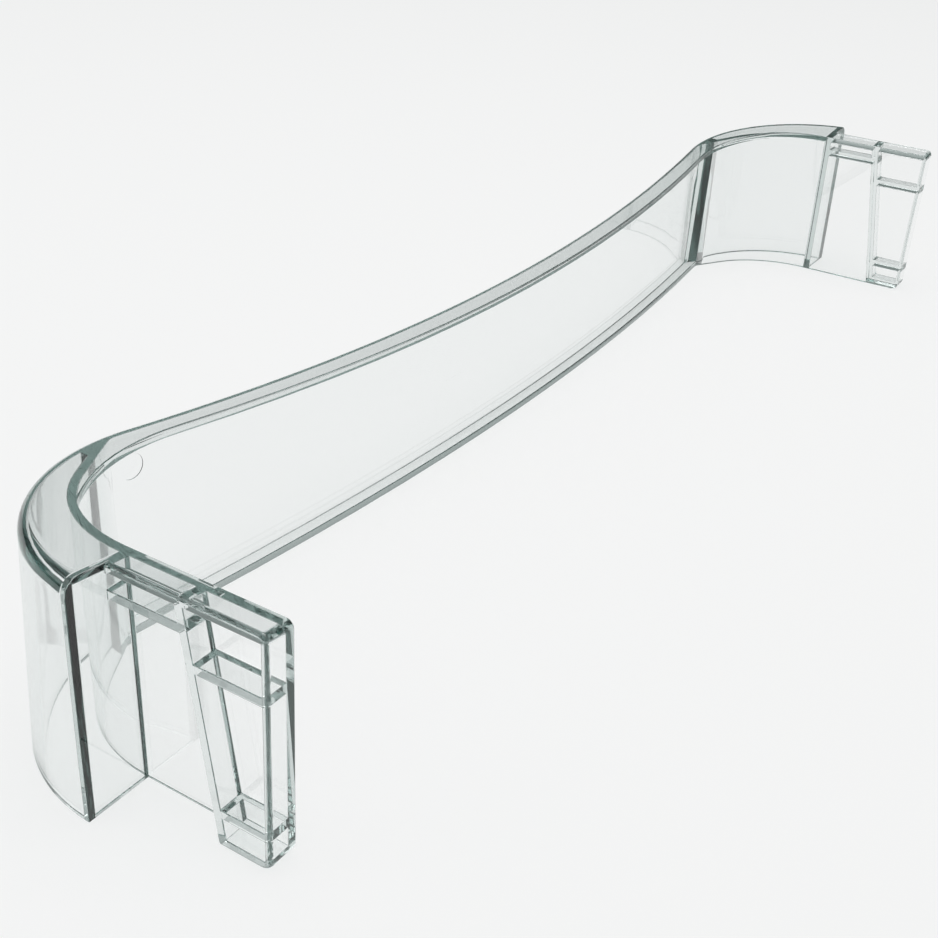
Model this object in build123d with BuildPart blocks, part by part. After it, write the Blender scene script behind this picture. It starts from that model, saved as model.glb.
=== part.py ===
from build123d import *
import os
from math import sqrt, asin, degrees, radians, sin, cos, tan

# Clear bottle guard of a refrigerator door shelf, one injection moulding.
# X runs along the door, minus Y is the user side, plus Y is the door, Z is up.
# Y = 0 is the plane of both shoulders, Z = 0 is the level bottom edge.

# overall form
overall_width = 475.0
side_height = 65.0             # height of the outermost sides
middle_height = 52.0           # height in the middle, where the long top arc dips
front_middle_y = -38.5         # user-side face in the middle of the panel
front_bow_radius = 1400.0      # the panel bows towards the door in plan
foot_corner_radius = 51.0      # corner of the outer skin at the bottom edge
crown_corner_radius = 58.0     # the same corner at side_height, softer than below

# walls
skin_wall = 2.8                # panel and outer skin
main_wall = 1.9                # inner wall of an arm, runs on as the end plate
shoulder_wall = 2.6
flange_thickness = 2.6         # top of the arms and the lip of the panel
crown_round = 4.0              # rounding of the outer top edge

# arm: the inner wall leaves the end plate, turns and runs into the panel
arm_depth = 18.5               # from the side of the outer skin in to the outer face of the end plate
wall_turn_y = -2.5             # where the inner wall starts to turn
wall_turn_radius = 39.6        # bottle-side face of the turn
wall_turn_angle = 60.0
wall_run = 40.0                # straight run after the turn, it ends inside the panel
wall_blend = 5.0               # rounding where the inner wall meets the panel
hollow_reach = 47.5            # the hollow of the arm narrows and ends this far in from the side

# lips of the panel
lip_middle_width = 10.0
lip_bow_radius = 1250.0
lip_corner_inset = 66.5        # centre of the curve that takes the lip round the corner, from the side
lip_corner_radius = 60.0
lip_end_angle = -25.0          # the lip has run out into the corner here
foot_width = 7.0
foot_thickness = 2.6

# end plate with its locating ribs
plate_length = 44.0            # reach of the plate at its top
end_lean = 0.8                 # lean of its free end, degrees, shorter at the bottom
rib_reach = 6.8                # ribs stand this far out from the plate
rib_wall = 2.5
end_rib_wall = 1.6             # the rib along the free end is thinner
rim_round = 1.3                # rounding of its outer edge
brace_foot_y = 30.8            # door-side face of the slanted rib at the bottom
brace_lean = 8.3               # its lean from the vertical, degrees
tie_z = 54.5                   # underside of the short tie beside the shoulder
middle_shelf_z = 45.5          # underside
lower_shelf_z = 8.5            # underside
bottom_rib = 2.8
foot_end_round = 3.0           # free corner of the plate at the bottom
top_end_round = 2.0            # and at the top

# moulding witness on the bottle side of the panel
ejector_mark_diameter = 7.5
ejector_mark_depth = 0.25
ejector_mark_inset = 64.0      # from the side of the outer skin
ejector_mark_z = 48.0

# derived sizes
half_width = overall_width / 2
blank_height = side_height + flange_thickness     # height of a blank before the top arc is cut
plan_back_y = plate_length                        # plan outlines are closed here, behind the shoulder
plate_outer_x = half_width - arm_depth
plate_inner_x = plate_outer_x - main_wall
rib_outer_x = plate_outer_x + rib_reach
top_arc_rise = side_height - middle_height
top_arc_radius = (half_width ** 2 + top_arc_rise ** 2) / (2 * top_arc_rise)
bow_centre_y = front_middle_y - front_bow_radius
turn_centre_x = plate_inner_x - wall_turn_radius
wall_face_in_arm = wall_turn_radius + main_wall
hollow_end_x = half_width - hollow_reach
lip_corner_x = half_width - lip_corner_inset
ejector_mark_x = half_width - ejector_mark_inset


def on_circle(x, y, radius, angle):
    """Point on a circle, the angle in degrees from plus X."""
    return (x + radius * cos(radians(angle)), y + radius * sin(radians(angle)))


def crown_radius(height):
    """Corner radius of the outer skin at a height, it widens evenly from the foot to the crown."""
    widening = (crown_corner_radius - foot_corner_radius) / side_height
    return foot_corner_radius + widening * height


def skin_outline(height, inset):
    """Right half of the plan at a height: bowed front, corner and side, closed behind the shoulder."""
    corner = crown_radius(height)
    corner_x = half_width - corner
    reach = front_bow_radius + corner
    corner_y = bow_centre_y + sqrt(reach ** 2 - corner_x ** 2)
    turn = degrees(asin(corner_x / reach))
    bow = front_bow_radius + inset
    small = corner - inset
    join = on_circle(0, bow_centre_y, bow, 90 - turn)
    side = (corner_x + small, corner_y)
    with BuildSketch(Plane.XY.offset(height)) as outline:
        with BuildLine():
            ThreePointArc((0, bow_centre_y + bow), on_circle(0, bow_centre_y, bow, 90 - turn / 2), join)
            ThreePointArc(join, on_circle(corner_x, corner_y, small, -(90 + turn) / 2), side)
            Line(side, (side[0], plan_back_y))
            Line((side[0], plan_back_y), (0, plan_back_y))
            Line((0, plan_back_y), (0, bow_centre_y + bow))
        make_face()
    return outline.sketch


def beside_wall(radius, far_x):
    """Plan area from one face of the main wall, given by its turn radius, out to far_x."""
    start = (turn_centre_x + radius, wall_turn_y)
    end = on_circle(turn_centre_x, wall_turn_y, radius, -wall_turn_angle)
    run_end = on_circle(*end, wall_run, -wall_turn_angle - 90)
    with BuildSketch() as area:
        with BuildLine():
            Line((start[0], plan_back_y), start)
            ThreePointArc(start, on_circle(turn_centre_x, wall_turn_y, radius, -wall_turn_angle / 2), end)
            Line(end, run_end)
            Line(run_end, (far_x, run_end[1]))
            Line((far_x, run_end[1]), (far_x, plan_back_y))
            Line((far_x, plan_back_y), (start[0], plan_back_y))
        make_face()
    return area.sketch


def above_top_arc(drop):
    """The room above the long top arc, lowered by a drop."""
    with BuildPart() as room:
        with Locations((0, 0, middle_height + top_arc_radius - drop)):
            Cylinder(top_arc_radius, 2 * overall_width, rotation=(90, 0, 0))
    return room.part


# inside of the outer skin, the envelope that both rooms are taken from
with BuildPart() as skin_inside:
    loft([skin_outline(0, skin_wall), skin_outline(blank_height, skin_wall)], ruled=True)

# room on the bottle side, between the foot and the lip
with BuildPart() as bottle_room:
    add(beside_wall(wall_turn_radius, 0))
    extrude(amount=blank_height)
    add(skin_inside.part, mode=Mode.INTERSECT)
    add(above_top_arc(flange_thickness), mode=Mode.SUBTRACT)
    upright = bottle_room.edges().filter_by(lambda edge: abs(edge.tangent_at(0.5).Z) > 0.9)
    meeting = upright.filter_by_position(Axis.Y, -half_width, wall_turn_y - wall_turn_radius).sort_by(Axis.X)[-1]
    fillet(meeting, wall_blend)
    split(bisect_by=Plane.XY.offset(foot_thickness), keep=Keep.TOP)

# opening inside the upper lip of the panel, the lip bows like the panel and runs out in the corner
lip_centre_y = front_middle_y + lip_middle_width - lip_bow_radius
lip_reach = lip_bow_radius + lip_corner_radius
lip_corner_y = lip_centre_y + sqrt(lip_reach ** 2 - lip_corner_x ** 2)
lip_turn = degrees(asin(lip_corner_x / lip_reach))
lip_join = on_circle(0, lip_centre_y, lip_bow_radius, 90 - lip_turn)
lip_end = on_circle(lip_corner_x, lip_corner_y, lip_corner_radius, lip_end_angle)
lip_middle_angle = (lip_end_angle - 90 - lip_turn) / 2
with BuildPart() as lip_opening:
    with BuildSketch(Plane.XY.offset(foot_thickness)):
        with BuildLine():
            ThreePointArc((0, lip_centre_y + lip_bow_radius),
                          on_circle(0, lip_centre_y, lip_bow_radius, 90 - lip_turn / 2), lip_join)
            ThreePointArc(lip_join, on_circle(lip_corner_x, lip_corner_y, lip_corner_radius, lip_middle_angle), lip_end)
            Line(lip_end, (lip_end[0], plan_back_y))
            Line((lip_end[0], plan_back_y), (0, plan_back_y))
            Line((0, plan_back_y), (0, lip_centre_y + lip_bow_radius))
        make_face()
        add(beside_wall(wall_turn_radius, 0), mode=Mode.INTERSECT)
    extrude(amount=blank_height)

# opening inside the foot of the panel
with BuildPart() as foot_opening:
    with BuildSketch():
        add(skin_outline(0, foot_width))
        add(beside_wall(wall_turn_radius, 0), mode=Mode.INTERSECT)
    extrude(amount=foot_thickness)

# hollow of the arm, between the main wall and the outer skin, open below
with BuildPart() as arm_hollow:
    add(beside_wall(wall_face_in_arm, half_width))
    extrude(amount=blank_height)
    add(skin_inside.part, mode=Mode.INTERSECT)
    add(above_top_arc(flange_thickness), mode=Mode.SUBTRACT)
    split(bisect_by=Plane.XZ.offset(shoulder_wall), keep=Keep.TOP)
    split(bisect_by=Plane.YZ.offset(hollow_end_x), keep=Keep.TOP)

# right half of the guard: the solid envelope first, then its rooms
with BuildPart() as guard:
    loft([skin_outline(0, 0), skin_outline(blank_height, 0)], ruled=True)
    add(above_top_arc(0), mode=Mode.SUBTRACT)
    top_face = guard.faces().sort_by(Axis.Z)[-1]
    # all its edges but the middle line and the closing line behind the shoulder
    outer_edges = top_face.edges().sort_by(Axis.X)[1:].sort_by(Axis.Y)[:-1]
    fillet(outer_edges, crown_round)
    split(bisect_by=Plane.XZ, keep=Keep.TOP)
    add(bottle_room.part, mode=Mode.SUBTRACT)
    add(lip_opening.part, mode=Mode.SUBTRACT)
    add(foot_opening.part, mode=Mode.SUBTRACT)
    add(arm_hollow.part, mode=Mode.SUBTRACT)

# end plate and its ribs as one flat-sided piece cut by the same top arc, it overlaps the shoulder
brace_slope = tan(radians(brace_lean))
brace_depth = rib_wall / cos(radians(brace_lean))
end_slope = tan(radians(end_lean))
foot_end_y = plate_length - end_slope * side_height
blank_end_y = foot_end_y + end_slope * blank_height
brace_top_y = brace_foot_y - brace_slope * blank_height
overlap_y = -shoulder_wall / 2
tie_end_y = brace_foot_y - brace_slope * tie_z - brace_depth / 2
plate_corners = ((overlap_y, 0), (foot_end_y, 0), (blank_end_y, blank_height), (overlap_y, blank_height))

# rib along the top of the whole plate, it follows the top arc
with BuildPart() as top_rib:
    with BuildSketch(Plane.YZ.offset(plate_outer_x)):
        Polygon(*plate_corners, align=None)
    extrude(amount=rib_reach)
    add(above_top_arc(rib_wall), mode=Mode.INTERSECT)

with BuildPart() as end_plate:
    with BuildSketch(Plane.YZ.offset(plate_inner_x)):
        Polygon(*plate_corners, align=None)
    extrude(amount=main_wall)
    with BuildSketch(Plane.YZ.offset(plate_outer_x)):
        # rib along the free end
        Polygon((foot_end_y - end_rib_wall, 0), (foot_end_y, 0), (blank_end_y, blank_height),
                (blank_end_y - end_rib_wall, blank_height), align=None)
        # slanted rib, its door lug stands between it and the shoulder
        Polygon((brace_foot_y - brace_depth, 0), (brace_foot_y, 0), (brace_top_y, blank_height),
                (brace_top_y - brace_depth, blank_height), align=None)
        # short tie from the shoulder to the slanted rib
        Polygon((overlap_y, tie_z), (tie_end_y, tie_z), (tie_end_y, tie_z + rib_wall),
                (overlap_y, tie_z + rib_wall), align=None)
        # two shelves and the bottom rib, from the slanted rib to the rib at the free end
        for level, depth in ((middle_shelf_z, rib_wall), (lower_shelf_z, rib_wall), (0, bottom_rib)):
            shelf_start = brace_foot_y - brace_slope * level - brace_depth / 2
            shelf_end = foot_end_y + end_slope * level - end_rib_wall / 2
            Polygon((shelf_start, level), (shelf_end, level), (shelf_end, level + depth),
                    (shelf_start, level + depth), align=None)
    extrude(amount=rib_reach)
    add(top_rib.part)
    add(above_top_arc(0), mode=Mode.SUBTRACT)
    free_end = end_plate.faces().sort_by(Axis.Y)[-1]
    fillet(free_end.edges().sort_by(Axis.Z)[0], foot_end_round)
    free_end = end_plate.faces().sort_by(Axis.Y)[-1]
    fillet(free_end.edges().sort_by(Axis.Z)[-1], top_end_round)
    # the outer rim of the ribs is rounded down its free end and along the top
    rim_edges = end_plate.faces().sort_by(Axis.X)[-1].outer_wire().edges()
    free_end_y = foot_end_y - foot_end_round
    fillet(rim_edges.filter_by(lambda edge: edge.center().Y > free_end_y), rim_round)

# the ejector mark is a shallow round dish, square to the panel's inner face
panel_inside = front_bow_radius + skin_wall
mark_turn = degrees(asin(ejector_mark_x / panel_inside))
mark_x, mark_y = on_circle(0, bow_centre_y, panel_inside - ejector_mark_depth, 90 - mark_turn)

# right half of the guard with its end plate, then both halves
with BuildPart() as bottle_guard:
    add(guard.part)
    add(end_plate.part)
    with Locations(Location((mark_x, mark_y, ejector_mark_z), (-90, 0, -mark_turn))):
        Cylinder(ejector_mark_diameter / 2, skin_wall, align=(Align.CENTER, Align.CENTER, Align.MIN),
                 mode=Mode.SUBTRACT)
    mirror(about=Plane.YZ)

bottle_guard.part.label = "bottle_guard"
os.makedirs("parts", exist_ok=True)
export_step(bottle_guard.part, "parts/bottle_guard.step")
box = bottle_guard.part.bounding_box()
print("solids", len(bottle_guard.part.solids()), "box", box.min, box.max, "volume", bottle_guard.part.volume)
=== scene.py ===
# %% [markdown]
# # Clear bottle guard of a refrigerator door shelf
# The real object is one injection moulding in clear plastic: a long bowed panel, a hollow arm
# at each end and a ribbed end plate that hooks onto the door. All of it is one solid, so there
# is one piece to dress here. Clear plastic has no colour to paint: what the eye sees is bent
# light at its edges, so the lesson is about edges, clear material and what surrounds them.

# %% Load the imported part
import bpy
import bmesh
from math import asin, cos, radians, sin, sqrt
from mathutils import Matrix, Vector


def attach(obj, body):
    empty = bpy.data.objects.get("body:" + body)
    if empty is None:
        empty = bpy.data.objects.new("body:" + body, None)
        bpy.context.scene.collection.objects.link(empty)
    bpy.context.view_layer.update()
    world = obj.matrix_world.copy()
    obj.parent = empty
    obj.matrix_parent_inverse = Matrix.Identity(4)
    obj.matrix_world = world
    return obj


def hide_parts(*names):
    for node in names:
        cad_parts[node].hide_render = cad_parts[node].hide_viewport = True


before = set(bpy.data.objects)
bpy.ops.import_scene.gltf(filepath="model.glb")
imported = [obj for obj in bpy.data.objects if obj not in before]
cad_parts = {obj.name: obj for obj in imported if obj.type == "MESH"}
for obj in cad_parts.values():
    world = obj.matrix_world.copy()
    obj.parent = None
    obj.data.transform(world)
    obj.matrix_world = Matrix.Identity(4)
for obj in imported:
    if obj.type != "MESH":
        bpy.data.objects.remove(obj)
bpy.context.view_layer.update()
guard_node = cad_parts["bottle_guard"]
scene = bpy.context.scene
scene.view_settings.view_transform = "Standard"
print("part loaded,", len(guard_node.data.polygons), "triangles")

# %% [markdown]
# ## Enough bounces for trapped light
# Seen from above, the edge of a clear wall glows grey green: light enters at the bottom edge and
# runs 65 mm up inside a wall 2 mm thick, thrown from face to face like light in a glass fibre.
# A path tracer counts each of those mirror bounces as glossy, and it stops at 4 of them unless
# it is told otherwise. The edges would come out black, so the counts are raised.

# %% Bounces
TRAPPED_BOUNCES = 96
scene.cycles.max_bounces = TRAPPED_BOUNCES
scene.cycles.transmission_bounces = TRAPPED_BOUNCES
scene.cycles.glossy_bounces = TRAPPED_BOUNCES
print("bounces", scene.cycles.glossy_bounces)

# %% [markdown]
# ## Two small helpers
# Colours are written as the hex values that a colour picker shows. A shader wants linear
# values, so one function turns them. The other helper adds a shader node, sets it and links it,
# which keeps each material short enough to read.

# %% Helpers for colours and nodes


def linear(hex_colour):
    """Linear RGBA of an sRGB hex colour."""
    channels = [int(hex_colour[i:i + 2], 16) / 255 for i in (1, 3, 5)]
    return [c / 12.92 if c <= 0.04045 else ((c + 0.055) / 1.055) ** 2.4 for c in channels] + [1.0]


def add_node(tree, kind, settings=None, inputs=None):
    """Adds one node. An input is given a value, or another node's output socket to link from."""
    node = tree.nodes.new(kind)
    for name, value in (settings or {}).items():
        setattr(node, name, value)
    for name, value in (inputs or {}).items():
        if isinstance(value, bpy.types.NodeSocket):
            tree.links.new(value, node.inputs[name])
        else:
            node.inputs[name].default_value = value
    return node


def new_material(name):
    """A material with an empty node tree, and that tree."""
    material = bpy.data.materials.new(name)
    material.use_nodes = True
    material.node_tree.nodes.clear()
    return material, material.node_tree


print("pale grey in linear values", [round(c, 3) for c in linear("#F5F5F5")])

# %% [markdown]
# ## Clear polystyrene, moulded and polished
# Door shelves are moulded in clear polystyrene or its tougher cousin SAN, in a polished tool.
# The faces are as smooth as glass and bend light a little more than window glass does, IOR 1.57.
# The plastic itself is faintly grey green. A face is only 2 or 3 mm thick and shows none of
# that, but light that is trapped inside a wall runs along it for centimetres, so the tint
# gathers at the edges. An absorbing volume gives just that. A lamp's shadow ray passes
# straight through, because real clear plastic leaves hardly any shadow.

# %% Clear plastic material
POLISHED = 0.02                # roughness of a face from a polished tool
STYRENE_IOR = 1.57
TINT_DENSITY = 60.0            # per metre, so only long paths take colour
clear_plastic, tree = new_material("clear moulded polystyrene")
plastic_surface = add_node(tree, "ShaderNodeBsdfPrincipled", inputs={
    "Base Color": linear("#FFFFFF"),
    "Roughness": POLISHED,
    "IOR": STYRENE_IOR,
    "Transmission Weight": 1.0,
})
light_path = add_node(tree, "ShaderNodeLightPath")
lets_light_by = add_node(tree, "ShaderNodeBsdfTransparent", inputs={"Color": linear("#F0F5F4")})
surface = add_node(tree, "ShaderNodeMixShader", inputs={0: light_path.outputs["Is Shadow Ray"]})
tree.links.new(plastic_surface.outputs[0], surface.inputs[1])
tree.links.new(lets_light_by.outputs[0], surface.inputs[2])
tint = add_node(tree, "ShaderNodeVolumeAbsorption", inputs={
    "Color": linear("#D0DBD9"),
    "Density": TINT_DENSITY,
})
plastic_out = add_node(tree, "ShaderNodeOutputMaterial", inputs={
    "Surface": surface.outputs[0],
    "Volume": tint.outputs[0],
})
print("clear plastic, IOR", plastic_surface.inputs["IOR"].default_value)

# %% [markdown]
# ## True normals for the round walls
# The real panel and corners come from a smoothly milled tool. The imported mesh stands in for
# them with flat facets up to 30 mm wide. Light bends twice at every clear wall, so even a small
# error in a normal shows as ripples, and averaging the facets is not good enough. The plan of
# the guard is made of plain arcs, so the true normal of a point follows from its arc.

# %% Arcs of the plan, in metres
HALF_WIDTH = 0.2375
BOW_CENTRE_Y, BOW_RADIUS = -1.4385, 1.4           # user-side face of the panel, in plan
FOOT_CORNER, CROWN_CORNER = 0.051, 0.058          # corner radius at the bottom and at the top
SIDE_HEIGHT, MIDDLE_HEIGHT = 0.065, 0.052
TOP_ARC_RADIUS = 2.17597                          # the long arc of the top edge
CROWN_ROUND = 0.004
SKIN_DEPTHS = (0.0, 0.0028, 0.007)                # outer face, inner face, edge of the foot
TURN_CENTRE = Vector((0.1775, -0.0025))           # inner wall of an arm
TURN_RADII = (0.0396, 0.0415)
SLACK = 0.00025                                   # how far a facet may lie off its arc
SHOULDER_Y = 0.0001                               # behind the shoulders all walls are flat
SAME_FACE = radians(14)                           # a true normal lies this near the rough one


def skin_normal(place):
    """Normal of the outer skin for a point at x >= 0, and the depth of the point inside it."""
    widening = (CROWN_CORNER - FOOT_CORNER) / SIDE_HEIGHT
    corner = FOOT_CORNER + widening * place.z
    centre_x = HALF_WIDTH - corner
    span = sqrt((BOW_RADIUS + corner) ** 2 - centre_x ** 2)
    from_bow = Vector((place.x, place.y - BOW_CENTRE_Y))
    if from_bow.x * span < centre_x * from_bow.y:
        across = -from_bow.normalized()
        depth, lean = from_bow.length - BOW_RADIUS, 0.0
    else:
        from_corner = Vector((place.x - centre_x, place.y - BOW_CENTRE_Y - span))
        across = from_corner.normalized()
        depth = corner - from_corner.length
        span_growth = widening * (BOW_RADIUS + corner + centre_x) / span
        lean = widening * (across.x - 1) - span_growth * across.y
    side = Vector((across.x, across.y, lean)).normalized()
    arc_drop = TOP_ARC_RADIUS - sqrt(TOP_ARC_RADIUS ** 2 - place.x ** 2)
    drop = MIDDLE_HEIGHT + arc_drop - place.z
    if depth < CROWN_ROUND and drop < CROWN_ROUND and depth > -SLACK:
        rise = asin(min(1.0, max(0.0, 1 - drop / CROWN_ROUND)))
        top = Vector((-place.x, 0, TOP_ARC_RADIUS)).normalized()
        return (cos(rise) * side + sin(rise) * top).normalized(), 0.0
    return side, depth


def true_normal(place, rough):
    """The normal of the arc that a point lies on, or the rough one where it lies on none."""
    if place.y > SHOULDER_Y:
        return rough
    right = Vector((abs(place.x), place.y, place.z))
    choices = []
    normal, depth = skin_normal(right)
    if any(abs(depth - level) < SLACK for level in SKIN_DEPTHS):
        choices.append(normal)
    turn = right.xy - TURN_CENTRE
    in_turn = turn.y < 0 < turn.x
    if in_turn and any(abs(turn.length - radius) < SLACK for radius in TURN_RADII):
        choices.append(turn.normalized().to_3d())
    for choice in choices:
        if place.x < 0:
            choice.x = -choice.x
        for way in (choice, -choice):
            if way.angle(rough) < SAME_FACE:
                return way
    return rough


side_point = Vector((HALF_WIDTH, 0, 0))
side_normal = true_normal(side_point, Vector((1, 0, 0)))
print("true normal at the side", [round(c, 3) for c in side_normal])

# %% [markdown]
# ## The guard with its edges broken
# No moulding has knife edges: the tool leaves every corner with a radius of a few tenths of a
# millimetre. On an opaque part that is a nicety. On a clear one each of those small roundings
# is a lens that draws a dark and a light line along the edge. The CAD solid gives the shape,
# so a copy of its mesh is merged, its flat faces are joined, and every sharp edge is bevelled.
# A bevel that is clamped against overlap shrinks everywhere to suit its tightest spot, so the
# clamp stays off. The ejector marks, where pins push the part out of the tool, are shallow:
# their dishes are levelled to the panel and get a smaller edge radius of their own.

# %% Broken edges
EDGE_RADIUS = 0.00035
MARK_EDGE_RADIUS = 0.00005
MARK_PLACE, MARK_ROOM = Vector((0.1735, -0.0465, 0.048)), 0.006
MARK_DEPTH = 0.0002
MARK_FLOOR_Y, MARK_RUN_OUT_X = -0.046719, 0.1755  # floor of the dish, and where it runs out
MARK_SLACK = SLACK / 10
SAME_POINT = 1e-6
FLAT, SHARP = radians(0.02), radians(35)


def distance_to_mark(place):
    """Distance of a point, taken at x >= 0, from the middle of the ejector mark."""
    return (Vector((abs(place.x), place.y, place.z)) - MARK_PLACE).length


guard_mesh = guard_node.data.copy()
guard_mesh.name = "clear_guard"
solid = bmesh.new()
solid.from_mesh(guard_mesh)
bmesh.ops.remove_doubles(solid, verts=solid.verts, dist=SAME_POINT)
bmesh.ops.dissolve_limit(solid, angle_limit=FLAT, verts=solid.verts, edges=solid.edges)
panel_inside = BOW_RADIUS + SKIN_DEPTHS[1]
for vertex in solid.verts:
    in_dish = distance_to_mark(vertex.co) < MARK_ROOM and abs(vertex.co.x) < MARK_RUN_OUT_X
    if in_dish and abs(vertex.co.y - MARK_FLOOR_Y) < MARK_SLACK:
        panel_y = BOW_CENTRE_Y + sqrt(panel_inside ** 2 - vertex.co.x ** 2)
        vertex.co.y = panel_y - MARK_DEPTH
sharp_edges = [edge for edge in solid.edges
               if len(edge.link_faces) == 2 and edge.calc_face_angle() > SHARP]
mark_edges = [edge for edge in sharp_edges
              if all(distance_to_mark(vertex.co) < MARK_ROOM for vertex in edge.verts)]
moulding_edges = [edge for edge in sharp_edges if edge not in set(mark_edges)]
print(len(mark_edges), "edges of ejector marks,", len(moulding_edges), "other sharp edges")
edge_strips = solid.faces.layers.int.new("edge strip")
for edges, radius in ((mark_edges, MARK_EDGE_RADIUS), (moulding_edges, EDGE_RADIUS)):
    rounded = bmesh.ops.bevel(
        solid, geom=edges, offset=radius, offset_type="OFFSET", segments=2,
        profile=0.5, affect="EDGES", clamp_overlap=False, material=-1)
    for face in rounded["faces"]:
        face[edge_strips] = 1
print(len(solid.faces), "faces with the edges broken")

# %% [markdown]
# ## Even normals and finer round walls
# Each corner of the mesh now gets its normal. A flat wall keeps its own, so that it stays a flat
# window and all the turning happens in the narrow edge strips. A round wall takes the true
# normal of its arc. The round walls are also cut into thirds that bulge out along the same
# arcs, because a smooth outline needs smooth geometry, and not only smooth shading.

# %% Normals
BULGING = radians(0.3)     # a facet whose corners turn less than this is as good as flat
even_normal = solid.verts.layers.float_vector.new("even normal")
on_arc = solid.verts.layers.int.new("on arc")
for vertex in solid.verts:
    corners = [loop for loop in vertex.link_loops if not loop.face[edge_strips]]
    normal = Vector()
    for loop in corners or vertex.link_loops:
        normal += loop.face.normal * loop.calc_angle() * loop.face.calc_area()
    rough = normal.normalized()
    vertex[even_normal] = true_normal(vertex.co, rough) if corners else rough
    vertex[on_arc] = vertex[even_normal] != rough
    vertex.normal = vertex[even_normal]
arc_faces = [face for face in solid.faces
             if not face[edge_strips] and all(vertex[on_arc] for vertex in face.verts)]
curved_faces = {face for face in arc_faces
                if any(face.normal.angle(vertex[even_normal]) > BULGING for vertex in face.verts)}
curved_edges = [edge for edge in solid.edges
                if any(face in curved_faces for face in edge.link_faces)]
print(len(curved_faces), "curved faces of", len(solid.faces))
bmesh.ops.subdivide_edges(
    solid, edges=curved_edges, cuts=2, smooth=1.0, smooth_falloff="LINEAR", use_grid_fill=True)
normals = []
for vertex in solid.verts:
    normal = vertex[even_normal].normalized()
    normals.append(true_normal(vertex.co, normal) if vertex[on_arc] else normal)
for face in solid.faces:
    face.smooth = True
open_edges = sum(1 for edge in solid.edges if len(edge.link_faces) != 2)
solid.to_mesh(guard_mesh)
solid.free()
guard_mesh.normals_split_custom_set_from_vertices(normals)
print("guard mesh,", len(guard_mesh.polygons), "faces,", open_edges, "open edges")

# %% [markdown]
# ## The piece in the scene
# The dressed mesh stands in for the imported one, which is hidden: it rides on the root body
# and wears the clear plastic. Its origin stays where the frame has it.

# %% Guard object
clear_guard = bpy.data.objects.new("clear_guard", guard_mesh)
scene.collection.objects.link(clear_guard)
guard_mesh.materials.clear()
guard_mesh.materials.append(clear_plastic)
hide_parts("bottle_guard")
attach(clear_guard, "root")
print("guard", [round(side, 4) for side in clear_guard.dimensions], "m")

# %% [markdown]
# ## Floor and backdrop
# The guard stands on a pale seamless floor. Clear plastic shows nothing but its surroundings,
# so the floor's own shade matters as much as the material. To the camera and through the
# plastic it is an even pale grey, and a share of ordinary diffuse keeps the soft shadow.

# %% Floor
FLOOR_RADIUS = 6.0
FLOOR_GAP = 0.0002             # just below the guard, so that the two never share a plane
EVEN_SHARE = 0.8
floor_mesh = bpy.data.meshes.new("floor")
floor_form = bmesh.new()
bmesh.ops.create_circle(floor_form, cap_ends=True, segments=96, radius=FLOOR_RADIUS)
floor_form.to_mesh(floor_mesh)
floor_form.free()
floor = bpy.data.objects.new("floor", floor_mesh)
scene.collection.objects.link(floor)
floor.location.z = -FLOOR_GAP
pale_floor, tree = new_material("pale paper floor")
light_path = add_node(tree, "ShaderNodeLightPath")
seen_a = add_node(tree, "ShaderNodeMath", {"operation": "MAXIMUM"}, {
    0: light_path.outputs["Is Camera Ray"], 1: light_path.outputs["Is Glossy Ray"]})
seen_b = add_node(tree, "ShaderNodeMath", {"operation": "MAXIMUM"}, {
    0: seen_a.outputs[0], 1: light_path.outputs["Is Transmission Ray"]})
even_share = add_node(tree, "ShaderNodeMath", {"operation": "MULTIPLY"}, {
    0: seen_b.outputs[0], 1: EVEN_SHARE})
paper = add_node(tree, "ShaderNodeBsdfDiffuse", inputs={"Color": linear("#F0F0F0")})
even = add_node(tree, "ShaderNodeEmission", inputs={"Color": linear("#F3F3F3"), "Strength": 1.0})
both = add_node(tree, "ShaderNodeMixShader", inputs={0: even_share.outputs[0]})
tree.links.new(paper.outputs[0], both.inputs[1])
tree.links.new(even.outputs[0], both.inputs[2])
add_node(tree, "ShaderNodeOutputMaterial", inputs={"Surface": both.outputs[0]})
floor_mesh.materials.append(pale_floor)
print("floor radius", round(floor.dimensions.x / 2, 2), "m")

# %% [markdown]
# ## Surroundings
# Every edge of a clear part shows a piece of the room. In a white room it would vanish, so a
# product photographer keeps the room dark and lights the paper. The world is pale for the
# camera, and for all other rays dark at the horizon and soft grey overhead.

# %% World
HALF_UP = 0.45                 # height of the middle shade between horizon and zenith
world = bpy.data.worlds.new("studio")
scene.world = world
world.use_nodes = True
tree = world.node_tree
tree.nodes.clear()
direction = add_node(tree, "ShaderNodeTexCoord")
height = add_node(tree, "ShaderNodeSeparateXYZ", inputs={0: direction.outputs["Generated"]})
room = add_node(tree, "ShaderNodeValToRGB", inputs={0: height.outputs["Z"]})
room.color_ramp.elements[0].position = 0.0
room.color_ramp.elements[0].color = linear("#3A4442")
room.color_ramp.elements[1].position = 1.0
room.color_ramp.elements[1].color = linear("#EEF0F0")
middle = room.color_ramp.elements.new(HALF_UP)
middle.color = linear("#8C9795")
room_light = add_node(tree, "ShaderNodeBackground", inputs={
    "Color": room.outputs[0], "Strength": 1.0})
pale_view = add_node(tree, "ShaderNodeBackground", inputs={
    "Color": linear("#F5F5F5"), "Strength": 1.0})
light_path = add_node(tree, "ShaderNodeLightPath")
sky = add_node(tree, "ShaderNodeMixShader", inputs={0: light_path.outputs["Is Camera Ray"]})
tree.links.new(room_light.outputs[0], sky.inputs[1])
tree.links.new(pale_view.outputs[0], sky.inputs[2])
add_node(tree, "ShaderNodeOutputWorld", inputs={"Surface": sky.outputs[0]})
print("world set")

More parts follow.
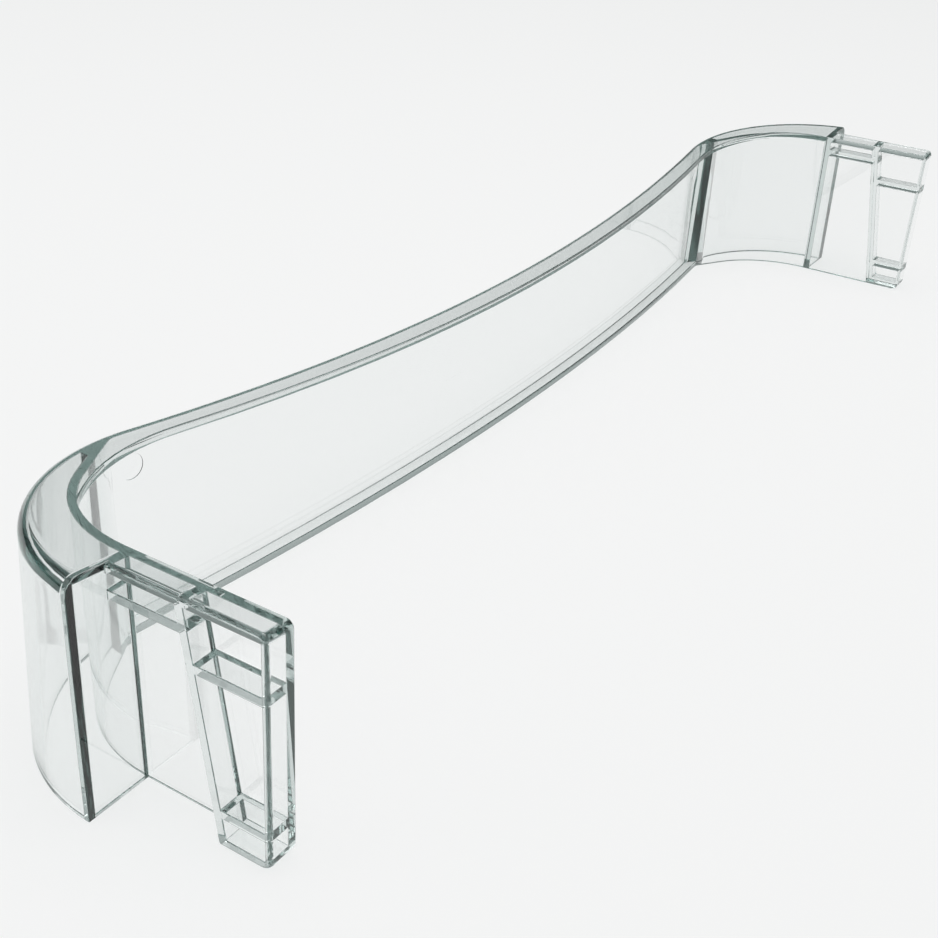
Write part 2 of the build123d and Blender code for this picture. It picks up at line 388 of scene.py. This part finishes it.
# %% [markdown]
# ## Lamps
# Two large soft boxes: one overhead for the even light on the paper, and one low at the side
# that draws a long highlight along the rounded top edge. Both are large and weak, because a
# small strong lamp would show as hard white lines in every clear wall.

# %% Lamps
OVERHEAD_SIZE, OVERHEAD_POWER = 1.2, 12        # metres and watts
SIDE_SIZE, SIDE_POWER = 1.0, 3


def soft_box(name, place, target, size, power):
    """A square area lamp at a place, turned to look at a target."""
    lamp = bpy.data.lights.new(name, "AREA")
    lamp.shape = "SQUARE"
    lamp.size = size
    lamp.energy = power
    holder = bpy.data.objects.new(name, lamp)
    scene.collection.objects.link(holder)
    holder.location = place
    holder.rotation_euler = (Vector(target) - Vector(place)).to_track_quat("-Z", "Y").to_euler()
    return holder


soft_box("overhead box", (0.0, 0.0, 1.4), (0, 0, 0), OVERHEAD_SIZE, OVERHEAD_POWER)
soft_box("side box", (0.9, -0.9, 0.7), (0, 0, 0.03), SIDE_SIZE, SIDE_POWER)
print("lamps set")

# %% [markdown]
# ## Camera
# The camera stands at the door side of the near end, a little above the guard. Its place, its
# angles and its focal length were fitted to the photograph with the solid's own corners.

# %% Camera
PICTURE_SIDE = 938
FOCAL_LENGTH_PX = 1348.47
SENSOR_WIDTH_MM = 36.0
NEAREST_SEEN = 0.01
azimuth, elevation, roll = radians(121.458), radians(28.994), radians(3.009)
camera_place = Vector((0.386775, 0.186481, 0.220723))
back = Vector((sin(azimuth) * cos(elevation), -cos(azimuth) * cos(elevation), sin(elevation)))
level_right = (-back).cross(Vector((0, 0, 1))).normalized()
level_up = level_right.cross(-back)
right = cos(roll) * level_right + sin(roll) * level_up
up = -sin(roll) * level_right + cos(roll) * level_up
camera_data = bpy.data.cameras.new("camera")
camera_data.sensor_fit = "HORIZONTAL"
camera_data.sensor_width = SENSOR_WIDTH_MM
camera_data.lens = FOCAL_LENGTH_PX / PICTURE_SIDE * camera_data.sensor_width
camera_data.clip_start = NEAREST_SEEN
camera = bpy.data.objects.new("camera", camera_data)
scene.collection.objects.link(camera)
camera_turn = Matrix((right, up, back)).transposed().to_4x4()
camera.matrix_world = Matrix.Translation(camera_place) @ camera_turn
scene.camera = camera
print("lens", round(camera_data.lens, 2), "mm")
